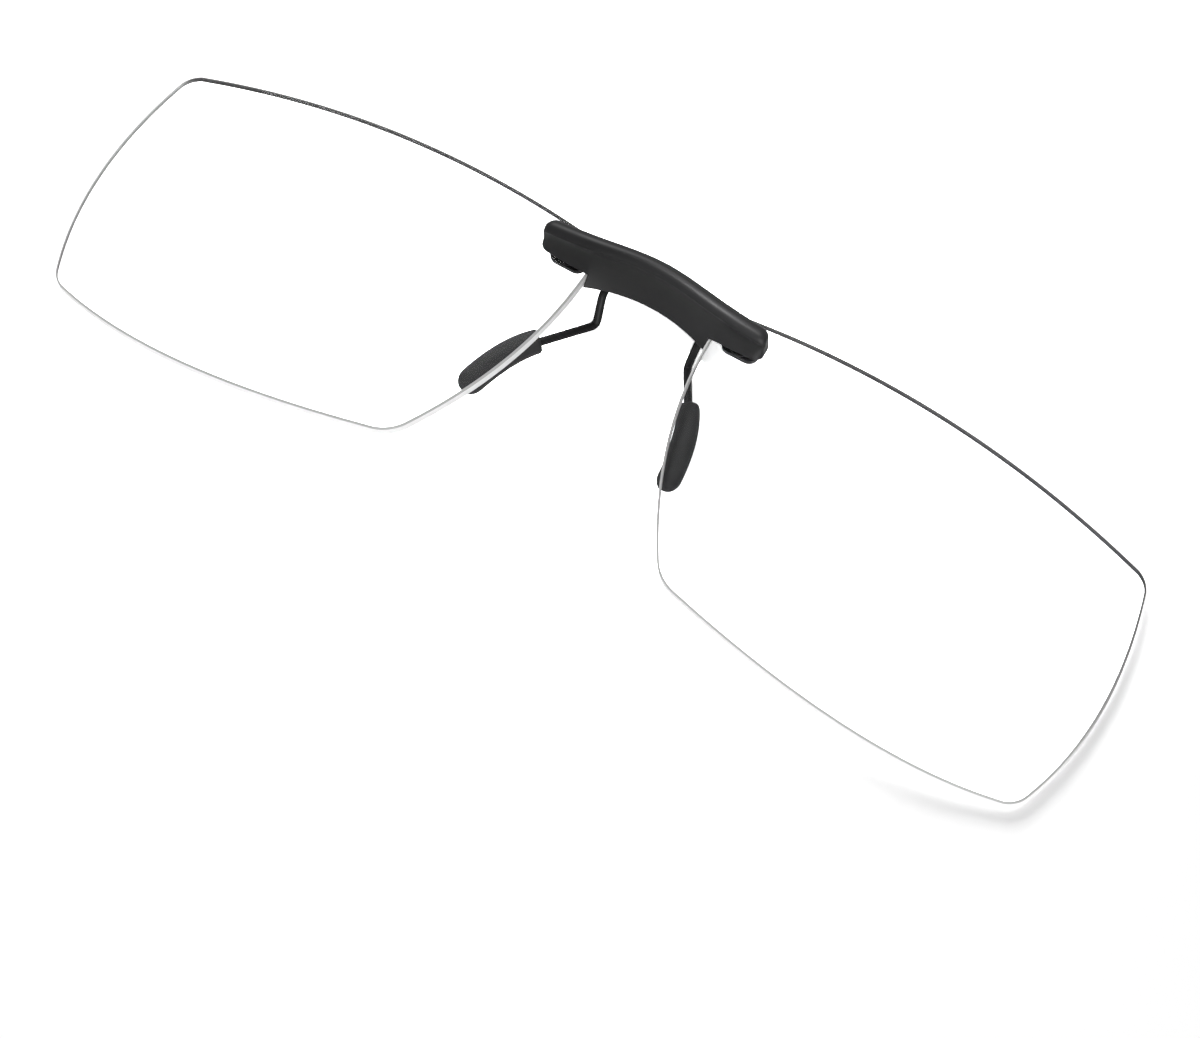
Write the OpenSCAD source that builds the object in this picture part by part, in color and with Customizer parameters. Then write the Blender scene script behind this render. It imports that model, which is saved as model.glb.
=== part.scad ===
// Clip-on glasses: two clear rimless lenses on a bar, with a sprung wire clip behind
// X runs across the face, Y towards the lens tops, Z out of the front
// Origin: midway between the lenses, at half their height, on the plane of their backs

/* [Lenses] */
// Width of one lens
lens_w = 59.5; // [56:0.5:63]
// Height of one lens
lens_h = 37; // [34:0.5:40]
// Thickness of a lens
lens_t = 1.8; // [1.4:0.1:2.2]
// Distance between the lenses at the nose
lens_gap = 16.2; // [15.4:0.2:17.4]
// Radius of the ball that each lens front follows
lens_ball_r = 276; // [220:4:340]
// Distance from the middle to the foremost point of each lens
lens_apex_x = 11.5; // [8:0.5:16]
// Height of that point above the middle of the lenses
lens_apex_y = 4; // [0:0.5:6]

/* [Lens corners] */
// Radius of the upper corner at the nose
nose_top_r = 3.3; // [2.6:0.1:4]
// Drop of that corner's centre below the lens top
nose_top_drop = 4.2; // [3.8:0.1:4.8]
// Radius of the upper outer corner
outer_top_r = 3.2; // [2.4:0.1:4]
// Drop of that corner's centre below the lens top
outer_top_drop = 7.3; // [6.5:0.1:8]
// Distance of that corner's centre from the outer edge
outer_top_in = 5.5; // [5:0.1:6.5]
// Radius of the lower outer corner
outer_low_r = 3.3; // [2.5:0.1:4]
// Height of that corner's centre above the lens bottom
outer_low_rise = 4.7; // [4.2:0.1:5.4]
// Distance of that corner's centre from the outer edge
outer_low_in = 5.7; // [5.2:0.1:6.5]
// Radius of the lower corner at the nose
nose_low_r = 5.5; // [4.5:0.1:6.5]
// Height of that corner's centre above the lens bottom
nose_low_rise = 8.6; // [8:0.1:9.4]
// Distance of that corner's centre from the nose edge
nose_low_in = 13.1; // [12:0.1:14.5]

/* [Bar] */
// Length of the bar
bar_w = 29.4; // [28.6:0.2:31]
// Drop of the bar's top at the middle below the lens top
bar_top_drop = 1.05; // [0.8:0.05:1.4]
// Fall of the bar's top from the middle to the ends
bar_top_fall = 1.15; // [0.9:0.05:1.4]
// Height of the front lip at the middle
lip_h = 1.5; // [1.2:0.05:1.8]
// Height of the front lip at the ends
lip_end_h = 2.2; // [1.8:0.05:2.4]
// Depth of the bar from its back to the front of the lip
bar_depth = 6.1; // [5.4:0.1:6.8]
// How far the lip curves back at the ends
bar_bow = 1.1; // [0.6:0.1:1.5]
// Drop of the lower back edge at the middle below the lens top
bar_low_drop = 4.9; // [4.5:0.1:5.3]
// How far the lower back edge drops beside the lenses
bar_low_fall = 1.5; // [1:0.1:1.8]
// How far it rises again from there to the ends
bar_low_rise = 0.9; // [0.6:0.1:1.2]
// Gap all round a lens in its seat
lens_seat_gap = 0.12; // [0.08:0.02:0.2]

/* [Lens clamps] */
// Width of a clamp plate
clamp_w = 4.7; // [4.3:0.1:5]
// Height of a clamp plate
clamp_h = 3.3; // [3.1:0.1:3.6]
// Distance from the middle to a clamp screw
clamp_x = 11.5; // [11.3:0.1:12]
// Drop of a clamp screw below the lens top
clamp_drop = 3.7; // [3.5:0.1:3.8]
// Thickness of a clamp plate
clamp_t = 0.8; // [0.7:0.05:1.1]
// Thickness of a gasket at the screw
gasket_t = 0.3; // [0.25:0.05:0.4]
// Diameter of a clamp screw's shank
screw_d = 0.8; // [0.7:0.05:0.9]
// Wall of the bush round a screw in its lens
bush_wall = 0.2; // [0.15:0.05:0.3]
// How far a clamp screw's tip lies in front of the plane of the lens backs
screw_tip_z = 2.7; // [2.5:0.1:2.8]

/* [Clip carrier] */
// Width of the carrier plate
carrier_w = 14.6; // [14.2:0.1:15]
// Thickness of the carrier plate
carrier_t = 0.8; // [0.7:0.05:0.9]
// Height of the carrier plate
carrier_h = 3; // [2.8:0.1:3.2]
// Height of its middle above the bar's lower back edge
carrier_rise = 1.9; // [1.8:0.05:2]
// Distance between the carrier's two ears
ear_gap = 8.3; // [8:0.1:8.6]
// Thickness of an ear
ear_t = 0.9; // [0.7:0.05:1]

/* [Hinge] */
// Drop of the hinge pin below the lens top
pin_drop = 2.3; // [2.1:0.1:2.5]
// Diameter of the hinge pin
pin_d = 1.2; // [1:0.1:1.3]
// Clearance round the pin in the turning lugs
pin_run = 0.05; // [0.03:0.01:0.08]
// Radius of an ear round the pin
ear_r = 1.4; // [1.3:0.05:1.5]

/* [Spring] */
// Wire diameter of the torsion spring
spring_wire = 0.36; // [0.3:0.02:0.4]
// Middle radius of the coil
coil_r = 1.12; // [1.08:0.02:1.18]
// Distance from one turn to the next
coil_pitch = 0.86; // [0.82:0.02:0.92]
// Whole turns of the coil, besides the half turn that faces the legs
coil_turns = 3; // [2:1:4]

/* [Lever] */
// Inner radius of the lever's shell round the pin
shell_r = 1.85; // [1.8:0.05:1.95]
// Thickness of the lever's shell
shell_t = 0.75; // [0.6:0.05:0.9]
// Thickness of a lug
lug_t = 1.9; // [1.8:0.05:2.1]
// Width of the thumb tab
tab_w = 5.2; // [4.6:0.1:6]
// Distance of the thumb tab's middle left of the bar's middle
tab_x = 3; // [2.8:0.1:3.2]
// Height of the thumb tab above its gap
tab_h = 1.5; // [1.2:0.1:1.7]
// Height of the gap under the thumb tab
tab_gap = 0.55; // [0.4:0.05:0.7]

/* [Arms] */
// Diameter of an arm's wire
wire_d = 1; // [0.8:0.05:1.1]
// Distance between the arms where they leave the lever
arm_gap = 12.8; // [12.6:0.1:13]
// How far behind the lenses the arms' bends reach, to the wire's middle
arm_back = 6; // [5.4:0.1:6.6]
// Drop of the arms' bends below the lens top
arm_bend_drop = 7.6; // [7.3:0.1:8.1]
// How far the left pad hangs below the height that both are made for
drop_left = 0.5; // [-1:0.1:1]
// How far the right pad hangs below that height
drop_right = -0.9; // [-1.2:0.1:1]

/* [Pads] */
// Width of a pad
pad_w = 2.95; // [2.65:0.05:3.25]
// Depth of a pad from front to back
pad_depth = 2.7; // [2.4:0.1:2.9]
// Length of a pad
pad_len = 10.8; // [10:0.1:11.8]
// Gap between a pad and its lens when the clip is closed
pad_gap = 0.55; // [0.35:0.05:0.7]
// Distance from the middle to a pad's upper end
pad_top_x = 9.55; // [9.2:0.05:10]
// Drop of a pad's upper end below the lens top
pad_top_drop = 13.6; // [13.2:0.1:14]
// Turn of the left pad outwards from upright, in degrees
pad_turn_left = 25; // [15:1:27]
// Turn of the right pad outwards from upright, in degrees
pad_turn_right = 15; // [13:1:25]

/* [Hidden] */
black = "#1c1c1e";
rubber = "#2e2e30";
steel = "#9a9ca0";
clear = "#dfe8ea";
round_fn = 48;
ball_fn = 400;
slack = 0.02;
bore_gap = 0.05;
seat_film = 0.03;
lens_left_x = lens_gap / 2;
lens_right_x = lens_left_x + lens_w;
lens_top_y = lens_h / 2;
ball_z = lens_t - lens_ball_r;
prism_half = lens_w / 4;

// Corner centres of the right lens, anticlockwise from the lower nose corner
nose_low = [lens_left_x + nose_low_in, nose_low_rise - lens_h / 2];
outer_low = [lens_right_x - outer_low_in, outer_low_rise - lens_h / 2];
outer_top = [lens_right_x - outer_top_in, lens_top_y - outer_top_drop];
nose_top = [lens_left_x + nose_top_r, lens_top_y - nose_top_drop];

function unit(v) = v / norm(v);
function turn(a) = [cos(a), sin(a)];
function mix(a, b, t) = a + (b - a) * t;
function arc(centre, r, from, to, n) = [for (i = [0 : n]) centre + r * turn(from + (to - from) * i / n)];
function quad(a, b, c, t) = mix(mix(a, b, t), mix(b, c, t), t);

// Where the tangents at two points meet, with a and b the angles of the outward normals
function meet(p, a, q, b) =
    let (u = [-sin(a), cos(a)], v = [-sin(b), cos(b)], d = q - p)
    p + u * ((d[0] * v[1] - d[1] * v[0]) / (u[0] * v[1] - u[1] * v[0]));
function side(p, a, q, b, n) =
    let (c = meet(p, a, q, b))
    [for (i = [1 : n - 1]) quad(p, c, q, i / n)];

// Angles of the outward normals where each corner starts and ends
nose_low_turn = [213, 257];
outer_low_turn = [285, 339];
outer_top_turn = [376, 436];
nose_top_turn = [457, 540];

// Outline of the right lens, grown by d
function lens_outline(d) =
    let (a = [nose_low_turn, outer_low_turn, outer_top_turn, nose_top_turn],
         c = [nose_low, outer_low, outer_top, nose_top],
         r = [nose_low_r + d, outer_low_r + d, outer_top_r + d, nose_top_r + d])
    [for (k = [0 : 3])
        let (n = (k + 1) % 4, from = c[k] + r[k] * turn(a[k][1]), to = c[n] + r[n] * turn(a[n][0]))
        for (p = concat(arc(c[k], r[k], a[k][0], a[k][1], 8), side(from, a[k][1], to, a[n][0], 14))) p];

// Rounded rectangle about the origin
function round_box(w, h, r) =
    [for (k = [0 : 3])
        for (p = arc([(k == 0 || k == 3 ? 1 : -1) * (w / 2 - r), (k < 2 ? 1 : -1) * (h / 2 - r)],
                     r, 90 * k, 90 * k + 90, 6)) p];

// Tube of radius r along points, as one closed solid; its path never runs along X
function tangent(p, i) = unit(p[min(i + 1, len(p) - 1)] - p[max(i - 1, 0)]);
function tube_ring(p, i, wide, deep, n) =
    let (t = tangent(p, i), u = unit(cross(t, [1, 0, 0])), v = cross(t, u))
    [for (k = [0 : n - 1]) p[i] + deep * cos(360 * k / n) * u + wide * sin(360 * k / n) * v];

module skin(rings) {
    n = len(rings[0]);
    last = len(rings) - 1;
    points = [for (ring = rings) for (p = ring) p];
    walls = [for (i = [0 : last - 1]) for (k = [0 : n - 1])
             for (f = [[i * n + k, (i + 1) * n + k, (i + 1) * n + (k + 1) % n],
                       [i * n + k, (i + 1) * n + (k + 1) % n, i * n + (k + 1) % n]]) f];
    ends = [[for (k = [0 : n - 1]) k], [for (k = [n - 1 : -1 : 0]) last * n + k]];
    polyhedron(points = points, faces = concat(walls, ends), convexity = 6);
}

module tube(path, r, n) {
    skin([for (i = [0 : len(path) - 1]) tube_ring(path, i, r, r, n)]);
}

// Path with its inner points rounded over the length cut on each side
function round_path(p, cut, n) =
    concat([p[0]],
           [for (i = [1 : len(p) - 2])
               let (a = p[i] + unit(p[i - 1] - p[i]) * cut, b = p[i] + unit(p[i + 1] - p[i]) * cut)
               for (k = [0 : n]) quad(a, p[i], b, k / n)],
           [p[len(p) - 1]]);

module both(which) {
    if (which > 0) children();
    else mirror([1, 0, 0]) children();
}

// Height of the right lens's back at a point
function lens_back_z(x, y) =
    ball_z + sqrt(pow(lens_ball_r - lens_t, 2) - pow(x - lens_apex_x, 2) - pow(y - lens_apex_y, 2));

// Ball of radius r about the centre of the right lens's front
module lens_ball(r) {
    translate([lens_apex_x, lens_apex_y, ball_z])
        sphere(r = r, $fn = ball_fn);
}

// Shell between two balls that share that centre, over an upright prism of the child outline
module lens_shell(outer, inner) {
    difference() {
        intersection() {
            translate([0, 0, -prism_half])
                linear_extrude(2 * prism_half)
                    children();
            lens_ball(outer);
        }
        lens_ball(inner);
    }
}

// Lenses
clamp_y = lens_top_y - clamp_drop;
bush_r = screw_d / 2 + slack + bush_wall;

module lens(which) {
    color(clear, 0.4)
        both(which)
            difference() {
                lens_shell(lens_ball_r, lens_ball_r - lens_t)
                    polygon(lens_outline(0));
                translate([clamp_x, clamp_y, -lens_t])
                    cylinder(r = bush_r + slack, h = 3 * lens_t, $fn = round_fn);
            }
}

// Bar
bar_half = bar_w / 2;
bar_top_y = lens_top_y - bar_top_drop;
bar_low_y = lens_top_y - bar_low_drop;
bar_end_r = 1.1;
bar_steps = 44;
bar_arch = 0.54;
lip_arch = 0.27;
lip_round = 1.25;
lip_turn = 62;
hollow_back = 2.4;
foot_r = 0.35;
back_edge = 0.75;

// From 0 at the middle to 1 at the ends, turning at w, s from 0 to 1
function gull(s, w) = 1 - exp(-pow(s / w, 2));
function bar_top(s) = bar_top_y - bar_top_fall * gull(s, bar_arch);
function lip_height(s) = mix(lip_h, lip_end_h, gull(s, lip_arch));
function bar_front(s) = bar_depth - bar_bow * s * s;
function bar_low(x) =
    let (inner = lens_left_x, t = min(abs(x) / inner, 1), out = max(abs(x) - inner, 0) / (bar_half - inner))
    bar_low_y - bar_low_fall * t * t + bar_low_rise * out;

// One section of the bar, round its edge from the top of the back, squeezed near the ends
function bar_section(x) =
    let (s = abs(x) / bar_half,
         over = max(abs(x) - (bar_half - bar_end_r), 0) / bar_end_r,
         e = sqrt(1 - 0.92 * over * over), e_low = sqrt(1 - 0.5 * over * over),
         top = bar_top(s), h = lip_height(s), front = bar_front(s) * (0.86 + 0.14 * e),
         low = bar_low(x), mid = top - h / 2 - foot_r,
         ridge = [top - h / 2 - h / 2 * sin(lip_turn), front - lip_round + lip_round * cos(lip_turn)],
         lip = [for (i = [0 : 9])
                   let (a = 90 - (90 + lip_turn) * i / 9)
                   [top - h / 2 + h / 2 * sin(a), front - lip_round + lip_round * cos(a)]],
         under = [for (i = [1 : 6]) quad(ridge, [ridge[0], front - hollow_back], [low, foot_r], i / 6)],
         foot = [[low + 0.3 * foot_r, 0.3 * foot_r], [low + foot_r, 0]],
         back = [for (p = [[1, 0], [0.53, 0.16], [0.33, 0.67]]) [top - p[0] * back_edge, p[1] * back_edge]],
         rise = [[top - 0.1 * back_edge, front * 0.45]])
    [for (p = concat(lip, under, foot, back, rise)) [x, mid + (p[0] - mid) * (p[0] > mid ? e : e_low), p[1]]];

module bar_blank() {
    // Steps lie closer together near the ends
    skin([for (i = [0 : bar_steps]) bar_section(bar_half * sin(-90 + 180 * i / bar_steps))]);
}

// Seat of the right lens, open to the back
module lens_seat() {
    intersection() {
        translate([0, 0, -lens_t])
            linear_extrude(4 * lens_t)
                polygon(lens_outline(lens_seat_gap));
        lens_ball(lens_ball_r + seat_film);
    }
}

module clamp_holes(r, from, to) {
    for (which = [-1, 1])
        translate([which * clamp_x, clamp_y, from])
            cylinder(r = r, h = to - from, $fn = round_fn);
}

module carrier_holes(r, from, to) {
    for (which = [-1, 1])
        translate([which * rivet_x, carrier_y, from])
            cylinder(r = r, h = to - from, $fn = round_fn);
}

module bar() {
    color(black)
        difference() {
            bar_blank();
            both(1) lens_seat();
            both(-1) lens_seat();
            clamp_holes(screw_d / 2 + slack, 0, screw_tip_z + bore_gap);
            carrier_holes(rivet_r + slack, -1, rivet_bite + bore_gap);
        }
}

// Clamp plates, gaskets, bushes and screws behind the lens corners
gasket_r = clamp_h / 2 - 0.1;
clamp_corner_r = 1.2;
clamp_front = lens_back_z(clamp_x, clamp_y) - gasket_t;
clamp_back = clamp_front - clamp_t;
gasket_top = lens_back_z(clamp_x, clamp_y + gasket_r) - seat_film;
screw_head_r = 0.9;
screw_head_h = 0.5;
slot_w = 0.3;

module lens_clamp(which) {
    color(black)
        both(which)
            difference() {
                translate([clamp_x, clamp_y, clamp_back])
                    linear_extrude(clamp_t)
                        polygon(round_box(clamp_w, clamp_h, clamp_corner_r));
                translate([clamp_x, clamp_y, clamp_back - 1])
                    cylinder(r = screw_d / 2 + slack, h = clamp_t + 2, $fn = round_fn);
            }
}

module lens_gasket(which) {
    color(black)
        both(which)
            difference() {
                translate([clamp_x, clamp_y, clamp_front])
                    cylinder(r = gasket_r, h = gasket_top - clamp_front, $fn = round_fn);
                translate([clamp_x, clamp_y, clamp_front - 1])
                    cylinder(r = screw_d / 2 + slack, h = lens_t + 2, $fn = round_fn);
            }
}

module lens_bushes() {
    color(black)
        for (which = [-1, 1])
            both(which)
                difference() {
                    lens_shell(lens_ball_r, lens_ball_r - lens_t)
                        translate([clamp_x, clamp_y])
                            circle(r = bush_r, $fn = round_fn);
                    translate([clamp_x, clamp_y, -4 * lens_t])
                        cylinder(r = screw_d / 2 + slack, h = 8 * lens_t, $fn = round_fn);
                }
}

module lens_screws() {
    color(steel)
        difference() {
            union() {
                clamp_holes(screw_d / 2, clamp_back - screw_head_h / 2, screw_tip_z);
                clamp_holes(screw_head_r, clamp_back - screw_head_h, clamp_back);
            }
            for (which = [-1, 1])
                translate([which * clamp_x - screw_head_r, clamp_y - slot_w / 2, clamp_back - screw_head_h * 1.5])
                    cube([2 * screw_head_r, slot_w, screw_head_h]);
        }
}

// Carrier: a plate on the bar's back with two ears for the hinge pin
pin_y = lens_top_y - pin_drop;
pin_r = pin_d / 2;
coil_out = coil_r + spring_wire / 2;
leg_gap = 0.3;
pin_z = -(carrier_t + leg_gap + coil_out);
carrier_y = bar_low_y + carrier_rise;
rivet_x = 2.6;
rivet_r = 0.5;
rivet_bite = 1.2;
rivet_head_r = 0.95;
rivet_head_h = 0.35;

module carrier_ear(x) {
    translate([x - ear_t / 2, pin_y, pin_z])
        rotate([0, 90, 0])
            cylinder(r = ear_r, h = ear_t, $fn = round_fn);
    translate([x - ear_t / 2, pin_y - ear_r, pin_z])
        cube([ear_t, 2 * ear_r, -pin_z - carrier_t / 2]);
}

module carrier() {
    color(black)
        difference() {
            union() {
                translate([0, carrier_y, -carrier_t])
                    linear_extrude(carrier_t)
                        polygon(round_box(carrier_w, carrier_h, 0.8));
                for (which = [-1, 1])
                    carrier_ear(which * (ear_gap + ear_t) / 2);
            }
            translate([-carrier_w / 2, pin_y, pin_z])
                rotate([0, 90, 0])
                    cylinder(r = pin_r + slack, h = carrier_w, $fn = round_fn);
            carrier_holes(rivet_r + slack, -2 * carrier_t, carrier_t);
            carrier_holes(rivet_head_r + slack, -2 * carrier_t, -carrier_t + rivet_head_h);
        }
}

module carrier_screws() {
    color(steel)
        difference() {
            union() {
                carrier_holes(rivet_r, -carrier_t, rivet_bite);
                carrier_holes(rivet_head_r, -carrier_t, -carrier_t + rivet_head_h - slack);
            }
            for (which = [-1, 1])
                translate([which * rivet_x - slot_w / 2, carrier_y - rivet_head_r, -carrier_t - slot_w / 2])
                    cube([slot_w, 2 * rivet_head_r, slot_w]);
        }
}

// Hinge pin, with a groove near each end for its clip
lug_gap = 0.3;
lug_in = ear_gap / 2 + ear_t + lug_gap;
lug_out = lug_in + lug_t;
clip_t = 0.3;
clip_r = 1.05;
groove_r = pin_r - 0.2;
pin_end = lug_out + lug_gap + clip_t + 0.25;

module hinge_pin() {
    color(steel)
        translate([-pin_end, pin_y, pin_z])
            rotate([0, 90, 0])
                difference() {
                    cylinder(r = pin_r, h = 2 * pin_end, $fn = round_fn);
                    for (z = [pin_end - lug_out - lug_gap / 2 - clip_t, pin_end + lug_out + lug_gap / 2])
                        translate([0, 0, z])
                            difference() {
                                cylinder(r = pin_r + 1, h = clip_t, $fn = round_fn);
                                cylinder(r = groove_r, h = clip_t, $fn = round_fn);
                            }
                }
}

module pin_clips() {
    color(steel)
        for (which = [-1, 1])
            translate([which * (lug_out + lug_gap / 2 + clip_t / 2) - clip_t / 2 + slack, pin_y, pin_z])
                rotate([0, 90, 0])
                    difference() {
                        cylinder(r = clip_r, h = clip_t - 2 * slack, $fn = round_fn);
                        translate([0, 0, -1])
                            cylinder(r = groove_r + slack, h = 3, $fn = round_fn);
                        translate([0, -groove_r * 0.8, -1])
                            cube([2 * clip_r, groove_r * 1.6, 3]);
                    }
}

// Lever: a shell behind the pin, with a lug and a wire socket at each end and the thumb tab
shell_from = 52;
shell_to = 100;
shell_out = shell_r + shell_t;
lug_r = 1.5;
socket_r = 0.92;
socket_low_y = pin_y - 1.75;
socket_depth = 0.95;
tab_z = pin_z - coil_out - 0.28;
tab_t = 0.75;
tab_foot_w = 0.95;
tab_foot_y = pin_y + 0.9;
tab_low_y = pin_y + shell_out * cos(shell_from) + tab_gap;
tab_rim = 0.55;
tab_dish = 0.15;

// Sector about the pin between two angles, counted from +Y towards the back
module pin_sector(x, w, r) {
    reach = 2 * r;
    translate([x, pin_y, pin_z])
        intersection() {
            rotate([0, 90, 0])
                cylinder(r = r, h = w, $fn = 2 * round_fn);
            rotate([0, 90, 0])
                linear_extrude(w)
                    polygon([[0, 0], reach * turn(90 - shell_from), reach * turn(90 - (shell_from + shell_to) / 2),
                             reach * turn(90 - shell_to)]);
        }
}

module lug(which) {
    x = which > 0 ? lug_in : -lug_out;
    translate([x, pin_y, pin_z])
        rotate([0, 90, 0])
            cylinder(r = lug_r, h = lug_t, $fn = round_fn);
    pin_sector(x, lug_t, shell_out);
    translate([which * arm_gap / 2, socket_low_y, pin_z])
        rotate([-90, 0, 0])
            cylinder(r = socket_r, h = pin_y - socket_low_y - pin_r, $fn = round_fn);
}

module thumb_tab() {
    x = -tab_x;
    translate([x, tab_low_y + tab_h / 2, tab_z - tab_t])
        difference() {
            linear_extrude(tab_t)
                polygon(round_box(tab_w, tab_h, 0.6));
            translate([0, 0, -1])
                linear_extrude(1 + tab_dish)
                    polygon(round_box(tab_w - 2 * tab_rim, tab_h - tab_rim, 0.4));
        }
    for (which = [-1, 1])
        translate([x + which * (tab_w - tab_foot_w) / 2 - tab_foot_w / 2, tab_foot_y, tab_z - tab_t])
            cube([tab_foot_w, tab_low_y + tab_h / 2 - tab_foot_y, tab_t]);
}

module lever() {
    color(black)
        difference() {
            union() {
                difference() {
                    pin_sector(-lug_out, 2 * lug_out, shell_out);
                    translate([-lug_in, pin_y, pin_z])
                        rotate([0, 90, 0])
                            cylinder(r = shell_r, h = 2 * lug_in, $fn = 2 * round_fn);
                }
                lug(-1);
                lug(1);
                thumb_tab();
            }
            translate([-2 * lug_out, pin_y, pin_z])
                rotate([0, 90, 0])
                    cylinder(r = pin_r + pin_run, h = 4 * lug_out, $fn = round_fn);
            for (which = [-1, 1])
                translate([which * arm_gap / 2, socket_low_y - 1, pin_z])
                    rotate([-90, 0, 0])
                        cylinder(r = wire_d / 2 + slack, h = 1 + socket_depth, $fn = round_fn);
        }
}

// Torsion spring: both legs point up, one on the carrier and one on the thumb tab
coil_w = coil_pitch * (coil_turns + 0.5);
coil_from = coil_w - tab_x + tab_w / 2 - 0.5;
coil_rings = 8;
leg_fixed = 1.5;
leg_turning = 2.2;

function coil_point(k) =
    let (a = 270 - 360 * k / coil_rings)
    [coil_from - coil_pitch * k / coil_rings, pin_y + coil_r * cos(a), pin_z - coil_r * sin(a)];
coil = [for (k = [0 : coil_rings * (coil_turns + 0.5)]) coil_point(k)];
coil_end = coil[len(coil) - 1];
spring_path = concat([coil[0] + [0, leg_fixed, 0], coil[0] + [0, 0.25, 0]], coil,
                     [coil_end + [0, 0.25, 0], coil_end + [0, leg_turning, 0]]);

// Least distance between points that lie more than half a turn apart, less the wire
spring_gap = min([for (i = [0 : len(coil) - 1]) for (j = [i + coil_rings / 2 + 1 : 1 : len(coil) - 1])
                  norm(coil[i] - coil[j])]) - spring_wire;
echo(spring_gap = spring_gap);

module clamp_spring() {
    color(steel)
        tube(spring_path, spring_wire / 2, 6);
}

// Arms and pads
arm_bend_y = lens_top_y - arm_bend_drop;
pad_top_y = lens_top_y - pad_top_drop;
pad_z = -(pad_gap + pad_depth / 2);
pad_lead = 0.35;
pad_swell_along = 0.12;
pad_swell_out = 1.4;
pad_steps = 18;
pad_neck = 0.88;
pad_rim = 0.05;
pad_end = 0.13;
arm_in_pad = 0.8;
arm_cut = 0.9;
arm_top = [arm_gap / 2, socket_low_y + socket_depth - bore_gap, pin_z];
arm_knee = [arm_gap / 2, socket_low_y - 1.2, pin_z - 0.1];
arm_bend_share = 0.4;

// Middle line of a pad that hangs lower by drop and is turned outwards by a, t from its top to its tip
function pad_point(t, drop, a) =
    let (top = [pad_top_x, pad_top_y - drop, pad_z], along = [sin(a), -cos(a), 0], out = [cos(a), sin(a), 0])
    quad(top - [0, 0, pad_lead], top + along * pad_len * (0.5 - pad_swell_along) + out * pad_swell_out,
         top + along * pad_len, t);
function pad_half(t) =
    let (swell = mix(pad_neck, 1, sin(90 * min(t / 0.8, 1))), rim = max(pad_rim - t, 0) / pad_rim,
         tip = max(t - (1 - pad_end), 0) / pad_end)
    pad_w / 2 * swell * sqrt(1 - 0.3 * rim * rim) * sqrt(1 - 0.96 * tip * tip);
function arm_path(drop, a) =
    concat(round_path([arm_top, arm_knee, [arm_gap / 2 - 0.4, arm_bend_y - arm_bend_share * drop, -arm_back],
                       pad_point(0, drop, a)], arm_cut, 4),
           [for (i = [1 : 6]) pad_point(arm_in_pad * i / 6, drop, a)]);

module arm(which, drop, a) {
    color(black)
        both(which)
            tube(arm_path(drop, a), wire_d / 2, 10);
}

module pad(which, drop, a) {
    // Rings lie closer together at the upper rim and the round tip
    at = [for (i = [0 : pad_steps]) (1 - cos(180 * i / pad_steps)) / 2];
    path = [for (t = at) pad_point(t, drop, a)];
    rings = [for (i = [0 : pad_steps])
             tube_ring(path, i, pad_half(at[i]), pad_half(at[i]) * pad_depth / pad_w, 16)];
    color(rubber)
        both(which)
            difference() {
                skin(rings);
                tube(arm_path(drop, a), wire_d / 2 + slack, 10);
            }
}

bar();
lens(-1);  // lens_left
lens(1);  // lens_right
lens_clamp(-1);  // lens_clamp_left
lens_clamp(1);  // lens_clamp_right
lens_gasket(-1);  // lens_gasket_left
lens_gasket(1);  // lens_gasket_right
lens_bushes();
lens_screws();
carrier();
carrier_screws();
hinge_pin();
pin_clips();
lever();
clamp_spring();
arm(-1, drop_left, pad_turn_left);  // arm_left
arm(1, drop_right, pad_turn_right);  // arm_right
pad(-1, drop_left, pad_turn_left);  // pad_left
pad(1, drop_right, pad_turn_right);  // pad_right
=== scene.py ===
import math

import bmesh
import bpy
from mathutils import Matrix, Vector
from mathutils.geometry import convex_hull_2d


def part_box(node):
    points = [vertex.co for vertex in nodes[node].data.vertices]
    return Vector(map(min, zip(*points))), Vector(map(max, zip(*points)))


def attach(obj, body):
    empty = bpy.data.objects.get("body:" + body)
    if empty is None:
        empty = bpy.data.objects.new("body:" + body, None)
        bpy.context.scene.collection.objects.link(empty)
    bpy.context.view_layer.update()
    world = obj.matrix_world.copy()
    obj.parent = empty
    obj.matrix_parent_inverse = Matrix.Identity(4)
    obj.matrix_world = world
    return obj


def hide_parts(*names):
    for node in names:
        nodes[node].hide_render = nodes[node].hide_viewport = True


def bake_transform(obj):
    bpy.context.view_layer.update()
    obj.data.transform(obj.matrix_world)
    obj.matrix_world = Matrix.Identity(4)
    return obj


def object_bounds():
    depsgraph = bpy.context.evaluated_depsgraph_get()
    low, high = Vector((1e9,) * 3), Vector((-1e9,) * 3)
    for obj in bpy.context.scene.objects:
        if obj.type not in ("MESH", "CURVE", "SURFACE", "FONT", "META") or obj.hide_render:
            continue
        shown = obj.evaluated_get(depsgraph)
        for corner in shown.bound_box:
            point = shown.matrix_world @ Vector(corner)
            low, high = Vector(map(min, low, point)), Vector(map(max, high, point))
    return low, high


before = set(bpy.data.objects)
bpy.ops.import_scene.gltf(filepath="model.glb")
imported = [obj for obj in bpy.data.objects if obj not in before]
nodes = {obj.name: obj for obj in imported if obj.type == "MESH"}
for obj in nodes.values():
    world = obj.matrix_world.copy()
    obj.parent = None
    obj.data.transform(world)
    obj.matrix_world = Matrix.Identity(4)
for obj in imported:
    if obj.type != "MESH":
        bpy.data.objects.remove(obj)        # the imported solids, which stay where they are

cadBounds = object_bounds()
mm = 0.001
upright, levered = "lens_carrier", "clip_lever"     # the two bodies
print("frame loaded:", len(nodes), "nodes")


# Camera

photoCamera = {
    "place": (0.10095, -0.12140, 0.38220),
    "turn": (20.340, 3.420, 31.000),      # degrees about X, Y and Z
    "lens": 108.73,
    "sensor": 36.0,
    "nearest": 0.01,
}


def link(obj):
    bpy.context.scene.collection.objects.link(obj)
    return obj


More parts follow.
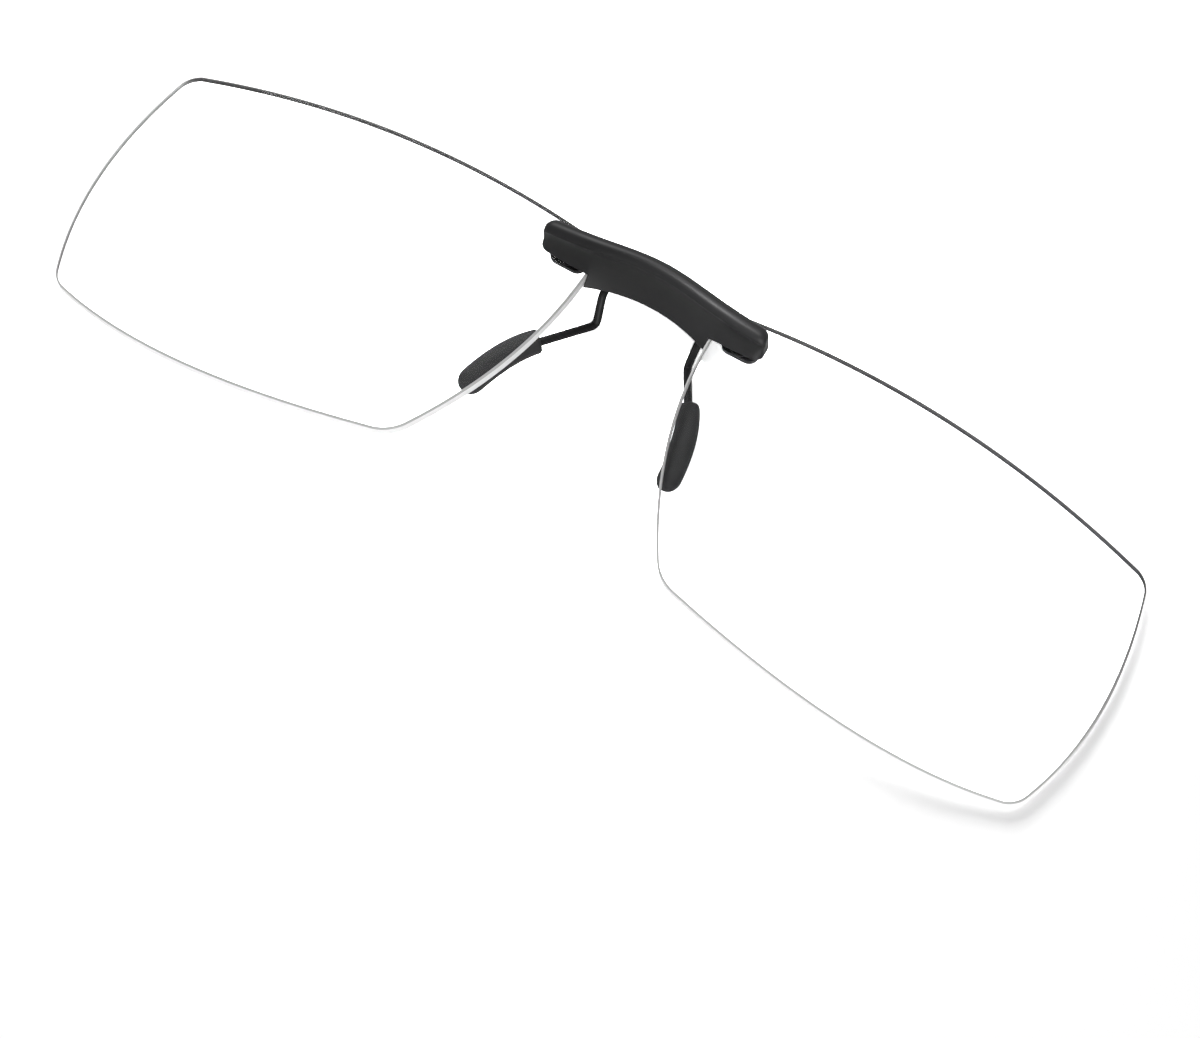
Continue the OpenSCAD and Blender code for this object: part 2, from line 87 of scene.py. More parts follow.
def makeCamera():
    camera = link(bpy.data.objects.new("photoCamera", bpy.data.cameras.new("photoCamera")))
    camera.location = photoCamera["place"]
    camera.rotation_euler = [math.radians(a) for a in photoCamera["turn"]]
    camera.data.lens = photoCamera["lens"]
    camera.data.sensor_width = photoCamera["sensor"]
    camera.data.clip_start = photoCamera["nearest"]
    bpy.context.scene.camera = camera


makeCamera()
print("camera ready")


# Shader helpers

def wire(tree, fromSocket, toSocket):
    tree.links.new(fromSocket, toSocket)


def feed(tree, value, socket):
    # the value is another node's output, or fixed
    if isinstance(value, bpy.types.NodeSocket):
        wire(tree, value, socket)
    else:
        socket.default_value = value


def grey(level):
    return (level, level, level, 1)


def mathOf(tree, operation, first, second):
    node = tree.nodes.new("ShaderNodeMath")
    node.operation = operation
    feed(tree, first, node.inputs[0])
    feed(tree, second, node.inputs[1])
    return node.outputs[0]


def dotOf(tree, first, second):
    node = tree.nodes.new("ShaderNodeVectorMath")
    node.operation = "DOT_PRODUCT"
    feed(tree, first, node.inputs[0])
    feed(tree, second, node.inputs[1])
    return node.outputs["Value"]


def lengthOf(tree, vector):
    node = tree.nodes.new("ShaderNodeVectorMath")
    node.operation = "LENGTH"
    wire(tree, vector, node.inputs[0])
    return node.outputs["Value"]


def rangeOf(tree, source, low, high, toLow, toHigh):
    node = tree.nodes.new("ShaderNodeMapRange")
    wire(tree, source, node.inputs["Value"])
    for socket, value in (("From Min", low), ("From Max", high), ("To Min", toLow), ("To Max", toHigh)):
        node.inputs[socket].default_value = value
    return node.outputs["Result"]


def colourMix(tree, factor, first, second):
    mix = tree.nodes.new("ShaderNodeMix")
    mix.data_type = "RGBA"
    wire(tree, factor, mix.inputs["Factor"])
    feed(tree, first, mix.inputs["A"])
    feed(tree, second, mix.inputs["B"])
    return mix.outputs["Result"]


def shaderMix(tree, factor, first, second):
    mix = tree.nodes.new("ShaderNodeMixShader")
    wire(tree, factor, mix.inputs["Fac"])
    wire(tree, first, mix.inputs[1])
    wire(tree, second, mix.inputs[2])
    return mix.outputs[0]


def rayKinds(tree):
    # seen by the camera, mirrored, or looked at through a lens without a bounce before it
    path = tree.nodes.new("ShaderNodeLightPath").outputs
    mirrored = mathOf(tree, "GREATER_THAN", path["Glossy Depth"], 0.5)
    bounces = mathOf(tree, "ADD", path["Diffuse Depth"], path["Glossy Depth"])
    straight = mathOf(tree, "LESS_THAN", bounces, 0.5)
    through = mathOf(tree, "MULTIPLY", path["Is Transmission Ray"], straight)
    return path["Is Camera Ray"], mirrored, through


# Floor, world and lamps

stageSetup = {
    "floorRadius": 0.26,
    "floorSides": 96,
    "floorFade": (0.13, 0.24),   # the floor melts into the white world between these distances
    "floorDrop": 0.00005,        # below the lowest point of the glasses
    "floorColour": 0.8,          # what lights the glasses from below
    "floorGloss": 0.60,          # what reflections show
    "floorSeen": 1.15,           # what the camera sees at the lower right, where the photo shows a shadow
    "floorPaintedWhite": 1.65,           # and elsewhere painted whiter than its lighting, so that shadows there don't show
    "shadeSide": (0.6, -0.8, 0.0),
    "shadeFrom": (0.029, 0.050),            # distances to that side between which the painted white turns into seen
    "paintedLightUnderNose": (0.025, 0.045, 3.0, 1.0),  # painted light: times as white again, between these distances from the middle, so that shadows under the middle don't show
    "floorThrough": 3.0,         # what the lenses show, which stays white in their own shadow
    "worldLight": 0.32,
    "worldGloss": 0.60,
    "worldSeen": 1.0,
}
lamps = {
    # name: place, aim, width, height, watts
    "keyLamp": ((-0.325, 0.370, 0.540), (0.0, 0.0, 0.0), 0.36, 0.36, 3.4),
    "rimLamp": ((0.325, -0.610, 0.187), (0.0, 0.0, 0.0), 0.25, 0.25, 3.0),
}
lipSpot = {
    # a narrow spot on the right half of the bar's lip
    "place": (-0.035, -0.010, 0.499),
    "aim": (0.0085, 0.0165, 0.004),
    "cone": 2.2,                 # degrees
    "blend": 1.0,
    "radius": 0.006,
    "watts": 14.0,
}


def floorMaterial():
    s = stageSetup
    mat = bpy.data.materials.new("paleFloor")
    mat.use_nodes = True
    tree = mat.node_tree
    tree.nodes.clear()
    place = tree.nodes.new("ShaderNodeTexCoord").outputs["Object"]
    # painted light: to the camera the floor is whiter than its lighting, except towards the lower right,
    # which washes out shadows
    across = dotOf(tree, place, s["shadeSide"])
    reach = lengthOf(tree, place)
    shaded = rangeOf(tree, across, *s["shadeFrom"], s["floorPaintedWhite"], s["floorSeen"])
    shaded = mathOf(tree, "MULTIPLY", shaded, rangeOf(tree, reach, *s["paintedLightUnderNose"]))
    seen, mirrored, through = rayKinds(tree)
    shown = colourMix(tree, mirrored, grey(s["floorColour"]), grey(s["floorGloss"]))
    shown = colourMix(tree, seen, shown, shaded)
    shown = colourMix(tree, through, shown, grey(s["floorThrough"]))
    matt = tree.nodes.new("ShaderNodeBsdfDiffuse")
    wire(tree, shown, matt.inputs["Color"])
    # the floor is clear far out and when seen from below
    clear = tree.nodes.new("ShaderNodeBsdfTransparent")
    below = tree.nodes.new("ShaderNodeNewGeometry").outputs["Backfacing"]
    gone = mathOf(tree, "MAXIMUM", rangeOf(tree, reach, *s["floorFade"], 0.0, 1.0), below)
    out = tree.nodes.new("ShaderNodeOutputMaterial")
    wire(tree, shaderMix(tree, gone, matt.outputs[0], clear.outputs[0]), out.inputs["Surface"])
    return mat


def makeFloor():
    reach, sides = stageSetup["floorRadius"], stageSetup["floorSides"]
    low = cadBounds[0].z - stageSetup["floorDrop"]
    turns = [2 * math.pi * k / sides for k in range(sides)]
    rim = [(reach * math.cos(a), reach * math.sin(a), low) for a in turns]
    mesh = bpy.data.meshes.new("floor")
    mesh.from_pydata(rim, [], [tuple(range(sides))])
    floor = link(bpy.data.objects.new("floor", mesh))
    mesh.materials.append(floorMaterial())


def makeWorld():
    world = bpy.data.worlds.new("paleWorld")
    world.use_nodes = True
    bpy.context.scene.world = world
    tree = world.node_tree
    seen, mirrored, through = rayKinds(tree)
    shown = colourMix(tree, mirrored, grey(stageSetup["worldLight"]), grey(stageSetup["worldGloss"]))
    shown = colourMix(tree, mathOf(tree, "MAXIMUM", seen, through), shown, grey(stageSetup["worldSeen"]))
    wire(tree, shown, tree.nodes["Background"].inputs["Color"])


def hangLamp(name, kind, place, aim, watts):
    light = bpy.data.lights.new(name, kind)
    light.energy = watts
    lamp = link(bpy.data.objects.new(name, light))
    lamp.location = place
    lamp.rotation_euler = (Vector(aim) - Vector(place)).to_track_quat("-Z", "Y").to_euler()
    lamp.visible_transmission = False      # its light already comes through the lenses as if they were clear
    return light


def makeLamps():
    for name, (place, aim, width, height, watts) in lamps.items():
        light = hangLamp(name, "AREA", place, aim, watts)
        light.shape = "RECTANGLE"
        light.size, light.size_y = width, height
    light = hangLamp("lipSpot", "SPOT", lipSpot["place"], lipSpot["aim"], lipSpot["watts"])
    light.spot_size, light.spot_blend = math.radians(lipSpot["cone"]), lipSpot["blend"]
    light.shadow_soft_size = lipSpot["radius"]


makeFloor()
makeWorld()
makeLamps()
bpy.context.scene.view_settings.view_transform = "Standard"
print("stage ready")


# Materials

finishes = {
    # name: base colour, roughness, specular level, metallic, grain size in mm, grain height in mm, wear and
    # edge highlight
    "barPlastic": ((0.0070, 0.0070, 0.0075), 0.47, 0.32, 0.0, 0.09, 0.0008, 0.30),
    "blackEnamel": ((0.0070, 0.0070, 0.0075), 0.48, 0.25, 0.0, 0.20, 0.0003, 0.25),
    "padRubber": ((0.030, 0.030, 0.031), 0.62, 0.20, 0.0, 0.12, 0.0002, 0.12),
    "turnedSteel": ((0.55, 0.55, 0.56), 0.26, 0.50, 1.0, 0.15, 0.0008, 0.20),
    "springSteel": ((0.42, 0.42, 0.43), 0.30, 0.50, 1.0, 0.10, 0.0008, 0.20),
    "blackSilicone": ((0.012, 0.012, 0.013), 0.50, 0.30, 0.0, 0.20, 0.0008, 0.10),
    "blackNylon": ((0.012, 0.012, 0.013), 0.42, 0.35, 0.0, 0.20, 0.0008, 0.10),
}
wearAndHighlightLook = {
    "patchSize": 4.0,               # mm
    "patchDetail": 4.0,
    "tintFrom": (0.35, 0.7),        # noise between which the colour turns into the worn one
    "glossFrom": (0.3, 0.7),        # and the gloss
    "glossy": 0.9,                  # times the roughness where least worn
    "dull": 0.35,                   # more of it where most worn, times the wear and edge highlight strength
    "edgeRadius": 0.10 * mm,
    "edgeSamples": 6,
    "edgeFrom": (0.995, 0.90),      # cosine to the flat face, between which an edge turns pale, partly as wear and partly as a painted highlight
    "edgeWearAndHighlight": 14,                # times the wear and edge highlight strength
}


def newMaterial(name):
    mat = bpy.data.materials.new(name)
    mat.use_nodes = True
    return mat, mat.node_tree, mat.node_tree.nodes["Principled BSDF"]


def noiseOf(tree, size, detail=3.0):
    # noise in the glasses' own space, with lumps of about that size in mm
    noise = tree.nodes.new("ShaderNodeTexNoise")
    noise.inputs["Scale"].default_value = 1 / (size * mm)
    noise.inputs["Detail"].default_value = detail
    wire(tree, tree.nodes.new("ShaderNodeTexCoord").outputs["Object"], noise.inputs["Vector"])
    return noise.outputs["Fac"]


def bumpOf(tree, grain, height):
    # size and height in mm
    bump = tree.nodes.new("ShaderNodeBump")
    bump.inputs["Distance"].default_value = height * mm
    wire(tree, noiseOf(tree, grain), bump.inputs["Height"])
    return bump


def surfaceMaterial(name):
    colour, rough, shine, metal, grain, height, wearAndEdgeHighlight = finishes[name]
    w = wearAndHighlightLook
    mat, tree, body = newMaterial(name)
    body.inputs["Metallic"].default_value = metal
    body.inputs["Specular IOR Level"].default_value = shine

    def paler(times):
        return (*[min(c * (1 + times * wearAndEdgeHighlight), 1) for c in colour], 1)

    # rubbed and dusty places differ a little in colour and gloss
    patches = noiseOf(tree, w["patchSize"], w["patchDetail"])
    tint = colourMix(tree, rangeOf(tree, patches, *w["tintFrom"], 0.0, 1.0), paler(0), paler(1))
    gloss = rangeOf(tree, patches, *w["glossFrom"], rough * w["glossy"], rough * (1 + w["dull"] * wearAndEdgeHighlight))
    wire(tree, gloss, body.inputs["Roughness"])
    # edges are softly rounded and painted a little paler: partly rubbed wear, partly a painted highlight
    # along edges and ridges
    soft = tree.nodes.new("ShaderNodeBevel")
    soft.inputs["Radius"].default_value = w["edgeRadius"]
    soft.samples = w["edgeSamples"]
    flat = tree.nodes.new("ShaderNodeNewGeometry").outputs["Normal"]
    paleEdgeWearAndHighlight = rangeOf(tree, dotOf(tree, flat, soft.outputs["Normal"]), *w["edgeFrom"], 0.0, 1.0)
    wire(tree, colourMix(tree, paleEdgeWearAndHighlight, tint, paler(w["edgeWearAndHighlight"])), body.inputs["Base Color"])
    bump = bumpOf(tree, grain, height)
    wire(tree, soft.outputs["Normal"], bump.inputs["Normal"])
    wire(tree, bump.outputs["Normal"], body.inputs["Normal"])
    return mat


lensLook = {
    "index": 1.5,
    "coat": 0.08,                   # share of plain plastic's reflection that the coated faces keep
    "tint": (0.985, 0.988, 0.99),
    "shade": 0.70,                  # light that each face lets through to the floor
    "rimPale": 0.95,                # ground edge where it faces down or left
    "bevelPale": 0.52,
    "rimPaintedShade": 0.11,                # painted shade on the ground edge where it faces up and right
    "rimClear": 0.20,               # light that the pale rim lets through
    "paintedShadeSide": {"Left": (0.10, 0.90, 0.0), "Right": (0.40, 0.85, 0.0)},
    "paintedShadeFrom": (0.20, 0.55),       # shares of that side between which the pale colour turns into painted shade
    "rimRough": 0.42,
    "rimShine": 0.15,
    "rimGrain": 0.08,               # mm
    "rimGrainHeight": 0.002,        # mm
}


def lensMaterial():
    mat, tree, body = newMaterial("clearLens")
    body.inputs["Base Color"].default_value = (*lensLook["tint"], 1)
    body.inputs["Roughness"].default_value = 0.0
    body.inputs["IOR"].default_value = lensLook["index"]
    body.inputs["Specular Tint"].default_value = grey(lensLook["coat"])
    body.inputs["Transmission Weight"].default_value = 1.0
    # lamps shine through to the floor
    clear = tree.nodes.new("ShaderNodeBsdfTransparent")
    clear.inputs["Color"].default_value = grey(lensLook["shade"])
    lit = tree.nodes.new("ShaderNodeLightPath").outputs["Is Shadow Ray"]
    surface = shaderMix(tree, lit, body.outputs[0], clear.outputs[0])
    wire(tree, surface, tree.nodes["Material Output"].inputs["Surface"])
    return mat


def rimMaterial(name, side, pale, through):
    # painted shade: a ground edge is coloured deep grey, and lets less light through, where it faces up and
    # right; below and left it keeps its pale colour
    mat, tree, body = newMaterial(name + side)
    normal = tree.nodes.new("ShaderNodeTexCoord").outputs["Normal"]
    inside = tree.nodes.new("ShaderNodeNewGeometry").outputs["Backfacing"]
    # from inside the lens, the normal is turned round
    way = rangeOf(tree, inside, 0.0, 1.0, 1.0, -1.0)
    facing = mathOf(tree, "MULTIPLY", dotOf(tree, normal, lensLook["paintedShadeSide"][side]), way)
    # painted shade towards the side that faces up and right
    deep = rangeOf(tree, facing, *lensLook["paintedShadeFrom"], 0.0, 1.0)
    wire(tree, colourMix(tree, deep, grey(pale), grey(lensLook["rimPaintedShade"])), body.inputs["Base Color"])
    wire(tree, rangeOf(tree, deep, 0.0, 1.0, through, 0.0), body.inputs["Transmission Weight"])
    body.inputs["Roughness"].default_value = lensLook["rimRough"]
    body.inputs["Specular IOR Level"].default_value = lensLook["rimShine"]
    body.inputs["IOR"].default_value = lensLook["index"]
    bump = bumpOf(tree, lensLook["rimGrain"], lensLook["rimGrainHeight"])
    wire(tree, bump.outputs["Normal"], body.inputs["Normal"])
    return mat


materials = {name: surfaceMaterial(name) for name in finishes}
materials["clearLens"] = lensMaterial()
for side in lensLook["paintedShadeSide"]:
    materials["groundRim" + side] = rimMaterial("groundRim", side, lensLook["rimPale"], lensLook["rimClear"])
    materials["rimBevel" + side] = rimMaterial("rimBevel", side, lensLook["bevelPale"], 0.0)
print("materials ready:", len(materials))


# Mesh helpers

def unit(v):
    return v.normalized()


def mixOf(a, b, t):
    return a + (b - a) * t


def bend(a, b, c, t):
    # a point along the curve from a to c that is drawn towards b
    return mixOf(mixOf(a, b, t), mixOf(b, c, t), t)


def tidyNormals(obj, sharpDeg):
    mesh = obj.data
    work = bmesh.new()
    work.from_mesh(mesh)
    bmesh.ops.recalc_face_normals(work, faces=work.faces)
    work.to_mesh(mesh)
    work.free()
    mesh.polygons.foreach_set("use_smooth", [True] * len(mesh.polygons))
    mesh.set_sharp_from_angle(angle=math.radians(sharpDeg))


def meshObject(name, points, faces, mats, sharpDeg, faceMats=None):
    mesh = bpy.data.meshes.new(name)
    mesh.from_pydata([tuple(p) for p in points], [], faces)
    for mat in mats:
        mesh.materials.append(mat)
    if faceMats:
        mesh.polygons.foreach_set("material_index", faceMats)
    obj = link(bpy.data.objects.new(name, mesh))
    tidyNormals(obj, sharpDeg)
    return obj


def wallFaces(a, b, size):
    # between ring a and ring b, both of that many points
    turns = [(k, (k + 1) % size) for k in range(size)]
    return [(a * size + k, a * size + n, b * size + n, b * size + k) for k, n in turns]


def skinRings(name, rings, mats, sharpDeg=40):
    # a closed solid over rings of one size
    size, last = len(rings[0]), len(rings) - 1
    points = [p for ring in rings for p in ring]
    faces = [face for i in range(last) for face in wallFaces(i, i + 1, size)]
    faces += [tuple(range(size)), tuple(range(last * size, (last + 1) * size))]
    return meshObject(name, points, faces, mats, sharpDeg)


def tubeRing(path, i, wide, deep, sides, square=2.0):
    # ring across the path, never along X; square above 2 fills its corners
    t = unit(path[min(i + 1, len(path) - 1)] - path[max(i - 1, 0)])
    u = unit(t.cross(Vector((1, 0, 0))))
    v = t.cross(u)
    ring = []
    for k in range(sides):
        a = 2 * math.pi * k / sides
        c, s = (math.copysign(abs(w) ** (2 / square), w) for w in (math.cos(a), math.sin(a)))
        ring.append(path[i] + u * (deep * c) + v * (wide * s))
    return ring


def tube(name, path, radius, sides, mats):
    return skinRings(name, [tubeRing(path, i, radius, radius, sides) for i in range(len(path))], mats)


def roundPath(corners, cut, steps):
    path = [corners[0]]
    for before, corner, after in zip(corners, corners[1:], corners[2:]):
        a = corner + unit(before - corner) * cut
        b = corner + unit(after - corner) * cut
        path += [bend(a, corner, b, k / steps) for k in range(steps + 1)]
    return path + [corners[-1]]


def cutWith(obj, cutter):
    cut = obj.modifiers.new("cut", "BOOLEAN")
    cut.object = cutter
    cut.solver = "EXACT"
    graph = bpy.context.evaluated_depsgraph_get()
    mesh = bpy.data.meshes.new_from_object(obj.evaluated_get(graph))
    obj.modifiers.clear()
    obj.data = mesh
    bpy.data.objects.remove(cutter)


def standFor(obj, node, body):
    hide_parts(node)
    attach(obj, body)
    return obj


def centreOf(node):
    low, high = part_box(node)
    return (low + high) / 2


# Lenses

lensShape = {
    "ballRadius": 276 * mm,
    "thickness": 1.8 * mm,
    "apex": (11.5 * mm, 4 * mm),      # foremost point of the right lens
    "rimPoints": 360,
    "rimSteps": 10,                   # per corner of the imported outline, before it is spaced evenly
    "edgeBevel": 0.24 * mm,
    "rings": (0.975, 0.94, 0.88, 0.8, 0.7, 0.58, 0.45, 0.3, 0.15),
    "holeRoom": 0.02 * mm,            # round the bush
    "sharp": 25,                      # degrees
}


def smoothLoop(corners, count):
    # even points along a smooth closed curve through the corners
    fine, n, steps = [], len(corners), lensShape["rimSteps"]
    for i in range(n):
        a, b, c, d = (corners[(i + k - 1) % n] for k in range(4))
        for k in range(steps):
            t = k / steps
            fine.append(0.5 * (2 * b + (c - a) * t + (2 * a - 5 * b + 4 * c - d) * t * t
                               + (3 * b - a - 3 * c + d) * t * t * t))
    lengths = [0.0]
    for i in range(len(fine)):
        lengths.append(lengths[-1] + (fine[(i + 1) % len(fine)] - fine[i]).length)
    loop, at = [], 0
    for k in range(count):
        want = lengths[-1] * k / count
        while lengths[at + 1] < want:
            at += 1
        share = (want - lengths[at]) / (lengths[at + 1] - lengths[at])
        loop.append(mixOf(fine[at], fine[(at + 1) % len(fine)], share))
    return loop


def lensOutline(node):
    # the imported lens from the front, without the points that lie on a straight stretch
    shortest, straightest = 1e-6, 0.002
    flat = sorted({(round(v.co.x, 7), round(v.co.y, 7)) for v in nodes[node].data.vertices})
    corners = [Vector(flat[i]) for i in convex_hull_2d([Vector(p) for p in flat])]
    kept = []
    for i, p in enumerate(corners):
        into, onward = p - corners[i - 1], corners[(i + 1) % len(corners)] - p
        if into.length > shortest and abs(unit(into).cross(unit(onward))) > straightest:
            kept.append(p)
    return smoothLoop(kept, lensShape["rimPoints"])


def grown(loop, by):
    # the loop moved outwards, whichever way round it runs
    area = sum(a.cross(b) for a, b in zip(loop, loop[1:] + loop[:1]))
    way = 1 if area > 0 else -1
    moved = []
    for i, p in enumerate(loop):
        t = unit(loop[(i + 1) % len(loop)] - loop[i - 1])
        moved.append(p + Vector((t.y, -t.x)) * way * by)
    return moved


def ballHeight(p, radius, side):
    x, y = p.x - side * lensShape["apex"][0], p.y - lensShape["apex"][1]
    return lensShape["thickness"] - lensShape["ballRadius"] + math.sqrt(radius * radius - x * x - y * y)


def lensBlank(name, loop, side, frontUp, backDown, bevel, mats):
    # rings from the middle of the front, over the edge, to the middle of the back
    front = lensShape["ballRadius"] + frontUp
    back = lensShape["ballRadius"] - lensShape["thickness"] - backDown
    inner = grown(loop, -bevel)
    middle = sum(loop, Vector((0, 0))) / len(loop)
    faceRings = [[mixOf(middle, p, s) for p in inner] for s in lensShape["rings"]]
    rings = [(flat, front, 0.0) for flat in reversed(faceRings)]
    rings += [(inner, front, 0.0), (loop, front, -bevel), (loop, back, bevel), (inner, back, 0.0)]
    rings += [(flat, back, 0.0) for flat in faceRings]
    points = [(p.x, p.y, ballHeight(p, radius, side) + rise) for flat, radius, rise in rings for p in flat]

    # material 1 is the ground rim and 2 the bevels beside it
    size, rim = len(loop), len(faceRings) + 1
    edgeMats = {rim - 1: 2, rim: 1, rim + 1: 2} if len(mats) > 1 else {}
    faces, faceMats = [], []
    for i in range(len(rings) - 1):
        faces += wallFaces(i, i + 1, size)
        faceMats += [edgeMats.get(i, 0)] * size
    for ring, radius in ((0, front), (len(rings) - 1, back)):
        faces += [(ring * size + k, ring * size + (k + 1) % size, len(points)) for k in range(size)]
        faceMats += [0] * size
        points.append((middle.x, middle.y, ballHeight(middle, radius, side)))
    return meshObject(name, points, faces, mats, lensShape["sharp"], faceMats)


def holeCutter(x, y, radius, reach=5 * mm, sides=48):
    turns = [2 * math.pi * k / sides for k in range(sides)]
    rings = [[Vector((x + radius * math.cos(a), y + radius * math.sin(a), z)) for a in turns]
             for z in (-reach, reach)]
    return skinRings("cutter", rings, [])


outlines = {"left": lensOutline("lens_left"), "right": lensOutline("lens_right")}
screwAt = centreOf("lens_clamp_right")
bushLow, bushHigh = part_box("lens_bushes")
bushRadius = (bushHigh.y - bushLow.y) / 2


def makeLens(name, side):
    title = name.capitalize()
    mats = [materials[key] for key in ("clearLens", "groundRim" + title, "rimBevel" + title)]
    lens = lensBlank("lens" + title, outlines[name], side, 0, 0, lensShape["edgeBevel"], mats)
    cutWith(lens, holeCutter(side * screwAt.x, screwAt.y, bushRadius + lensShape["holeRoom"]))
    tidyNormals(lens, lensShape["sharp"])
    return standFor(lens, "lens_" + name, upright)


makeLens("left", -1)
makeLens("right", 1)
print("lenses ready")


# Bar

barLow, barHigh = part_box("bar")
barShape = {
    "half": (barHigh.x - barLow.x) / 2,
    "topY": barHigh.y,
    "topFall": 1.15 * mm,
    "arch": 0.54,               # share of the half length at which the top turns
    "lipHeight": 2.15 * mm,
    "lipEndHeight": 2.2 * mm,
    "lipArch": 0.27,
    "depth": barHigh.z,
    "bow": 1.1 * mm,
    "lowY": 13.45 * mm,
    "lowFall": 1.6 * mm,
    "lowRise": 0.3 * mm,
    "noseX": 8.1 * mm,          # where the lenses' edges cross under it
    "endRound": 1.1 * mm,       # length over which each end tapers
    "topTaper": 0.92,
    "lowTaper": 0.5,
    "frontTaper": 0.14,
    "endFillet": 0.22 * mm,
    "lipRound": 1.25 * mm,
    "lipTurn": 62,              # degrees past straight ahead, to the ridge
    "lipSteps": 28,
    "hollowBack": 2.4 * mm,
    "frontSteps": 18,
    "foot": 0.35 * mm,
    # corners of the lower edge, up and out, in feet
    "footCurve": ((0.06, 0.57), (0.3, 0.3), (0.57, 0.09), (1, 0)),
    "backEdge": 0.75 * mm,
    # and of the back's upper edge, down from the top and out, in back edges
    "backCurve": ((1, 0), (0.73, 0.05), (0.53, 0.16), (0.40, 0.37), (0.33, 0.67)),
    "crown": (0.1, 0.45),       # back edges below the top, and share of the depth
    "crownSteps": 4,
    "heart": (0.3 * mm, 0.5),   # what an end shrinks to: below the middle, and share of the depth
    "stations": 150,
    "evenShare": 0.35,          # of even spacing, the rest being closer towards the ends
    "sharp": 32,                # degrees
}
seatCut = {
    "gap": 0.12 * mm,
    "above": 0.03 * mm,
    "deep": 6 * mm,
}


def gull(s, w):
    # from 0 at the middle to 1 at the ends, turning at w
    return 1 - math.exp(-(s / w) ** 2)


def barSection(x):
    b = barShape
    s = abs(x) / b["half"]
    over = max(abs(x) - (b["half"] - b["endRound"]), 0) / b["endRound"]
    topSqueeze, lowSqueeze = (math.sqrt(1 - b[key] * over * over) for key in ("topTaper", "lowTaper"))
    top = b["topY"] - b["topFall"] * gull(s, b["arch"])
    high = mixOf(b["lipHeight"], b["lipEndHeight"], gull(s, b["lipArch"]))
    front = (b["depth"] - b["bow"] * s * s) * mixOf(1, topSqueeze, b["frontTaper"])
    beside = min(abs(x) / b["noseX"], 1)
    out = max(abs(x) - b["noseX"], 0) / (b["half"] - b["noseX"])
    low = b["lowY"] - b["lowFall"] * beside * beside + b["lowRise"] * out
    foot, edge = b["foot"], b["backEdge"]
    crest = top - high / 2
    up, ridgeAt = math.radians(90), -math.radians(b["lipTurn"])

    def lipPoint(a):
        return Vector((crest + high / 2 * math.sin(a), front - b["lipRound"] * (1 - math.cos(a))))

    # height and depth: over the lip, down the hollow front, round the foot, up the back and over the crown
    points = [lipPoint(mixOf(up, ridgeAt, i / b["lipSteps"])) for i in range(b["lipSteps"] + 1)]
    ridge, toe = lipPoint(ridgeAt), Vector((low, foot))
    hollow = Vector((ridge.x, front - b["hollowBack"]))
    points += [bend(ridge, hollow, toe, i / b["frontSteps"]) for i in range(1, b["frontSteps"] + 1)]
    points += [Vector((low + y * foot, z * foot)) for y, z in b["footCurve"]]
    points += [Vector((top - y * edge, z * edge)) for y, z in b["backCurve"]]
    down, share = b["crown"]
    last, crown, steps = points[-1], Vector((top - down * edge, front * share)), b["crownSteps"]
    points += [mixOf(last, crown, k / steps) for k in range(1, steps + 1)]
    points += [mixOf(crown, points[0], k / steps) for k in range(1, steps)]

    # the ends taper, and the last sliver of each is rounded off
    fillet = b["endFillet"]
    near = max(abs(x) - (b["half"] - fillet), 0) / fillet
    shrink = fillet * (1 - math.sqrt(max(1 - near * near, 0)))
    middle = crest - foot
    heart = Vector((x, middle - b["heart"][0], front * b["heart"][1]))
    section = []
    for p in points:
        squeeze = topSqueeze if p.x > middle else lowSqueeze
        point = Vector((x, middle + (p.x - middle) * squeeze, p.y))
        section.append(point - unit(point - heart) * shrink)
    return section


def makeBar():
    count = barShape["stations"]
    even = [2 * i / count - 1 for i in range(count + 1)]
    places = [mixOf(math.sin(math.radians(90 * p)), p, barShape["evenShare"]) for p in even]
    rings = [barSection(barShape["half"] * p) for p in places]
    bar = skinRings("bar", rings, [materials["barPlastic"]], barShape["sharp"])
    for name, side in (("left", -1), ("right", 1)):
        loop = grown(outlines[name], seatCut["gap"])
        cutWith(bar, lensBlank("seatCutter", loop, side, seatCut["above"], seatCut["deep"], 0.0, []))
    tidyNormals(bar, barShape["sharp"])
    return standFor(bar, "bar", upright)


makeBar()
print("bar ready")


# Arms and pads

armShape = {
    "wire": 0.5 * mm,           # radius
    "sides": 24,
    "gap": 6.4 * mm,            # from the middle to each wire at the lever
    "socketDown": 1.75 * mm,    # from the pin to the foot of the socket
    "topUp": 0.9 * mm,          # into its socket
    "kneeDown": 1.2 * mm,
    "kneeBack": 0.1 * mm,
    "bendIn": 0.4 * mm,
    "bendY": 10.9 * mm,
    "bendBack": 6.0 * mm,
    "bendShare": 0.4,           # of the pad's drop
    "cut": 0.9 * mm,
    "bendSteps": 10,
    "intoPad": 0.8,
    "padSteps": 24,
}
padShape = {
    "width": 2.95 * mm,
    "depth": 2.7 * mm,
    "length": 10.8 * mm,
    "top": Vector((9.55, 4.9, -1.9)) * mm,
    "lead": 0.35 * mm,
    "swellAlong": 0.12,
    "swellOut": 1.4 * mm,
    "neck": 0.88,
    "fullAt": 0.8,              # share of the length at which the neck has reached the full width
    "rim": 0.05,                # share of the length that narrows at the top
    "rimTaper": 0.3,
    "end": 0.13,                # and at the tip
    "endTaper": 0.985,
    "square": 2.2,
    "rings": 64,
    "sides": 40,
    "mouth": 0.60 * mm,         # radius of the hole that the wire goes into
    "mouthRings": 8,            # how far in it closes on the wire
    "mouthRoom": 1.02,          # times the wire
    "sharp": 50,                # degrees
}
hang = {"left": (-1, 0.5 * mm, 25), "right": (1, -0.9 * mm, 15)}     # side, drop, turn outwards in degrees
pinAt = centreOf("hinge_pin")


